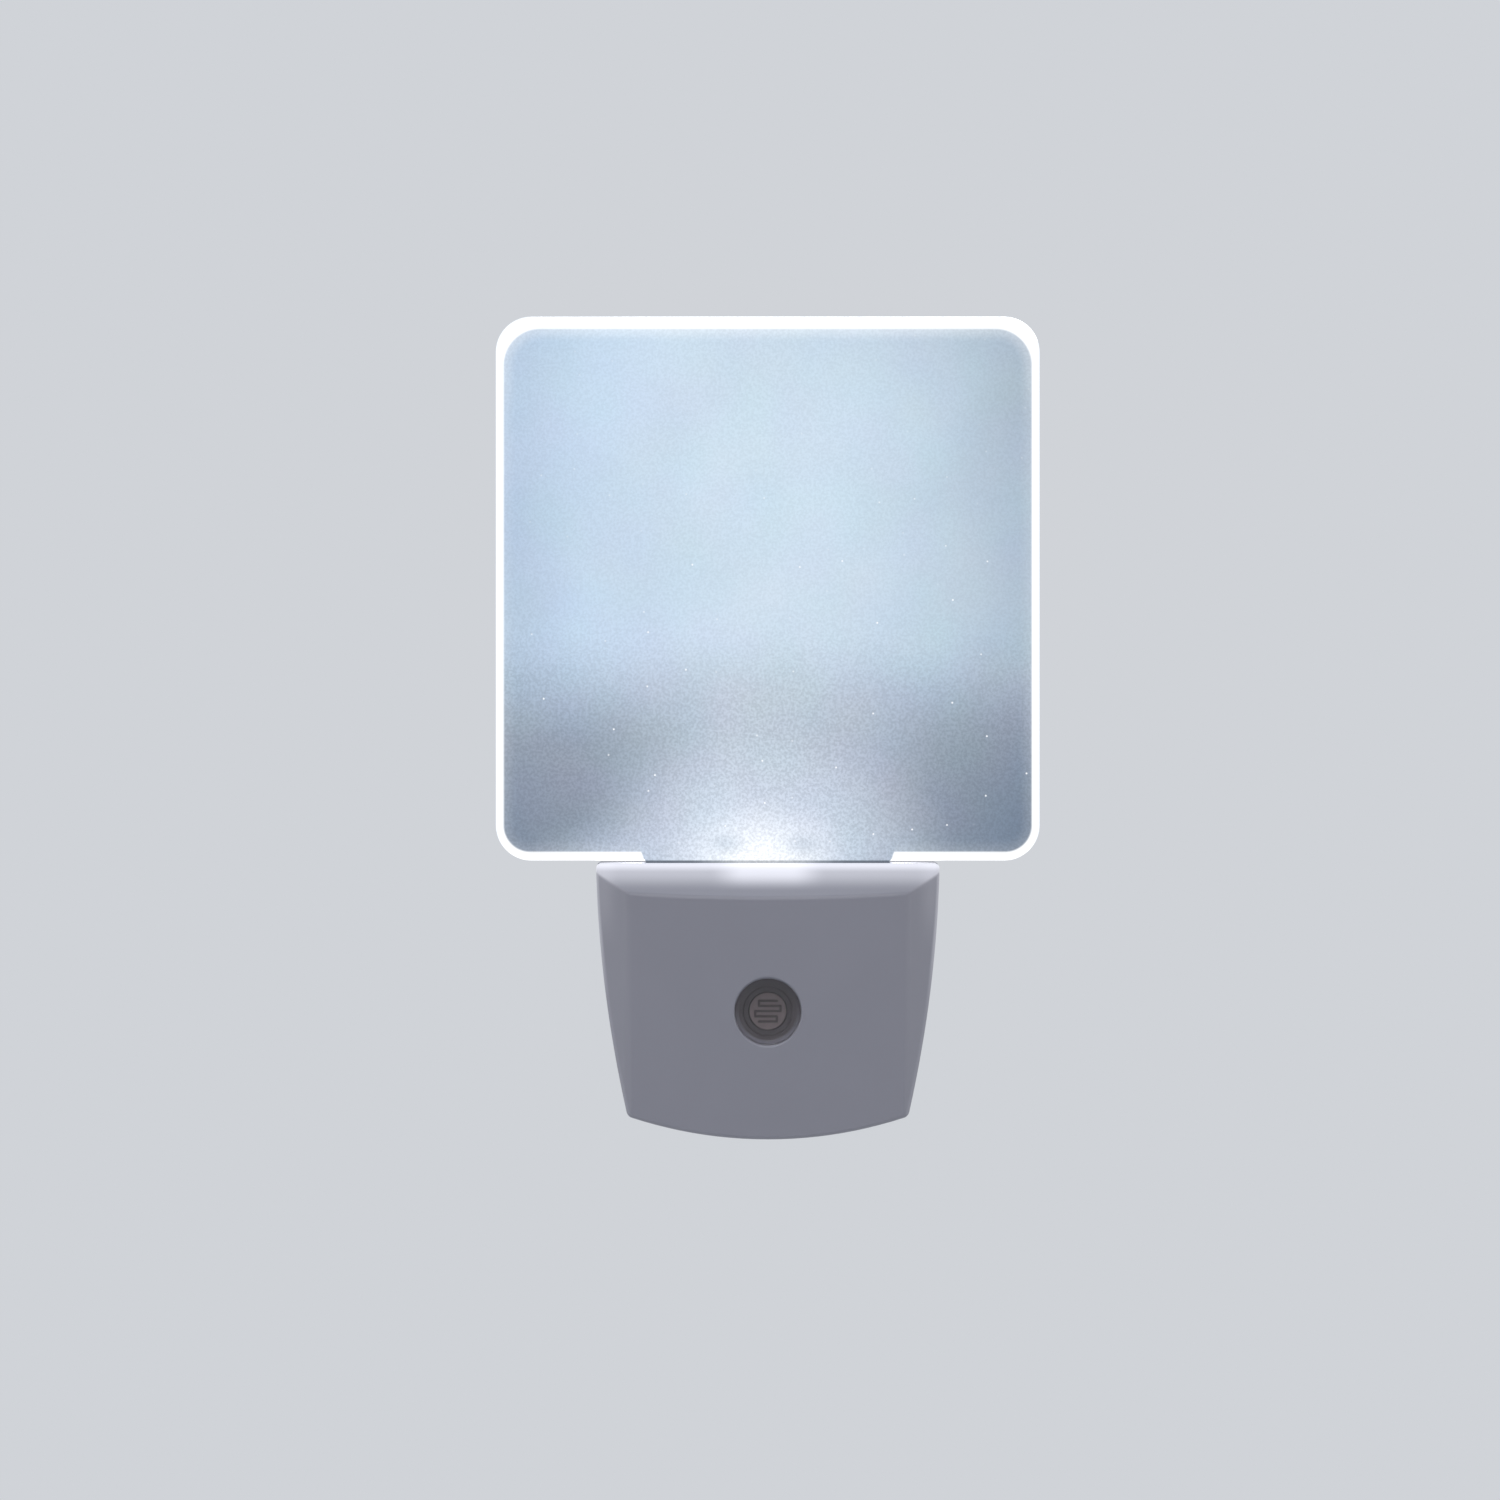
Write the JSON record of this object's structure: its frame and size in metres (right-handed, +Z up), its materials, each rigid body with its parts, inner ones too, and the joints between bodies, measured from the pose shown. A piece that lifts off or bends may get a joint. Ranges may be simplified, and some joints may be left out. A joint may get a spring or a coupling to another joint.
{
  "type": "plug in night light",
  "caption": "Plug-in night light: square edge-lit frosted panel on a small tapered housing with a light sensor, and a flat two-pin mains plug behind.",
  "frame": {"origin": "middle of the plug's end face, midway between the pins where they leave it", "axes": "+Z up, +Y along the plug towards the wall, +X to the right seen from the front; the light faces -Y"},
  "size_m": [0.0768, 0.0645, 0.1155],
  "materials": {
    "grey_abs": "fine moulded texture",
    "frosted_acrylic": "frosted faces, polished rim, edge-lit",
    "clear_polycarbonate": "polished, slightly smoked",
    "dark_abs": "matt moulded",
    "photocell_ceramic": "unglazed ceramic, sensitive layer on its face",
    "cadmium_track": "sintered layer",
    "clear_epoxy": "cured epoxy",
    "nickel_brass": "nickel-plated brass, turned",
    "sleeve_black": "moulded insulating sleeve",
    "nylon_natural": "moulded nylon",
    "zinc_steel": "zinc plated",
    "tinned_copper": "tinned wire",
    "solder": "reflowed solder",
    "pvc_brown": "PVC wire insulation",
    "pvc_blue": "PVC wire insulation",
    "pvc_red": "PVC wire insulation",
    "pvc_black": "PVC wire insulation",
    "fr4_green": "solder-masked laminate",
    "film_yellow": "moulded capacitor case",
    "can_aluminium": "drawn can",
    "sleeve_navy": "shrunk PVC sleeve",
    "rubber_black": "moulded rubber",
    "black_epoxy": "moulded semiconductor epoxy",
    "resistor_blue": "lacquered",
    "resistor_green": "flameproof lacquer",
    "diode_glass": "sealed glass",
    "board_white": "white masked aluminium board",
    "led_white": "moulded reflector cup",
    "led_phosphor": "phosphor in silicone"
  },
  "bodies": {
    "root": {"front_cover": "grey_abs", "rear_cover": "grey_abs", "housing_screws": "zinc_steel", "light_panel": "frosted_acrylic", "sensor_window": "clear_polycarbonate", "sensor_holder": "dark_abs", "photocell_base": "photocell_ceramic", "photocell_track": "cadmium_track", "photocell_coat": "clear_epoxy", "photocell_leads": "tinned_copper", "pin_left": "nickel_brass", "pin_right": "nickel_brass", "pin_sleeve_left": "sleeve_black", "pin_sleeve_right": "sleeve_black", "pin_retainer": "nylon_natural", "live_wire": "pvc_brown", "neutral_wire": "pvc_blue", "wire_cores": "tinned_copper", "main_board": "fr4_green", "film_capacitor": "film_yellow", "electrolytic_can": "can_aluminium", "electrolytic_sleeve": "sleeve_navy", "electrolytic_bung": "rubber_black", "bridge_rectifier": "black_epoxy", "bleed_resistor": "resistor_blue", "fusible_resistor": "resistor_green", "zener_diode": "diode_glass", "transistor": "black_epoxy", "chip_resistors": "black_epoxy", "component_leads": "tinned_copper", "solder_joints": "solder", "led_board": "board_white", "led_bodies": "led_white", "led_phosphors": "led_phosphor", "led_wire_plus": "pvc_red", "led_wire_minus": "pvc_black"}
  },
  "joints": []
}
